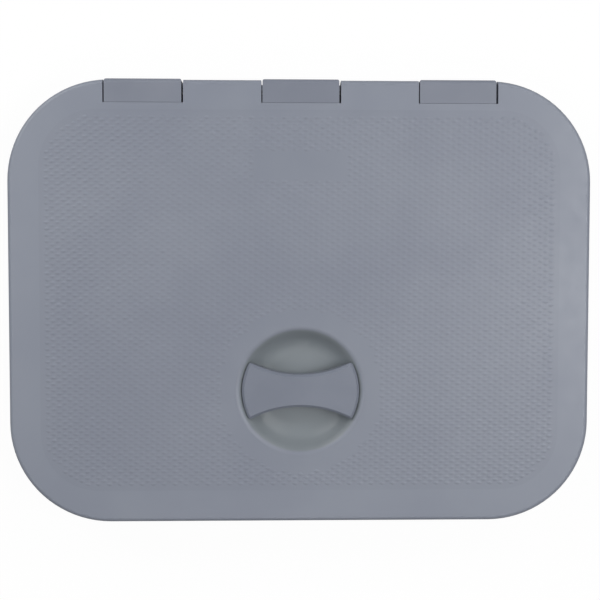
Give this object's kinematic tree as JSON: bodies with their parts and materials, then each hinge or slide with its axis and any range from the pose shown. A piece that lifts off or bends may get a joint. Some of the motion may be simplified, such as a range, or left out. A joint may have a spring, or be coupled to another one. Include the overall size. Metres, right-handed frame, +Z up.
{
  "type": "access hatch",
  "caption": "Hinged rectangular access hatch for a boat's deck or locker: moulded lid with a patterned panel, turn handle in a round finger dish, and a flanged frame with a collar.",
  "frame": {"origin": "middle of the lid's outline, on the deck plane (the underside of the frame's flange), which is also the centre of the deck screw patterns", "axes": "+Z up out of the deck, +Y towards the hinge, +X to the right seen from the front"},
  "size_m": [0.37, 0.2816, 0.04],
  "materials": {
    "lid_plastic": "satin blue-grey moulded plastic",
    "frame_plastic": "satin blue-grey moulded plastic",
    "handle_plastic": "satin blue-grey moulded plastic",
    "tongue_plastic": "satin black nylon",
    "seal_rubber": "black seal rubber",
    "stainless": "stainless steel"
  },
  "bodies": {
    "frame": {"frame": "frame_plastic", "hinge_pin_left": "stainless", "hinge_pin_right": "stainless"},
    "lid": {"lid": "lid_plastic", "lid_seal": "seal_rubber"},
    "handle": {"handle": "handle_plastic", "stem_seal": "seal_rubber", "tongue": "tongue_plastic", "tongue_screw": "stainless"}
  },
  "joints": [
    {"name": "lid_hinge", "type": "hinge", "parent": "frame", "child": "lid", "pos_m": [0, 0.133, 0.012], "axis": [-1, 0, 0], "range_deg": [0, 160]},
    {"name": "handle_turn", "type": "hinge", "parent": "lid", "child": "handle", "pos_m": [0, -0.0565, 0], "axis": [0, 0, -1], "range_deg": [0, 90]}
  ]
}
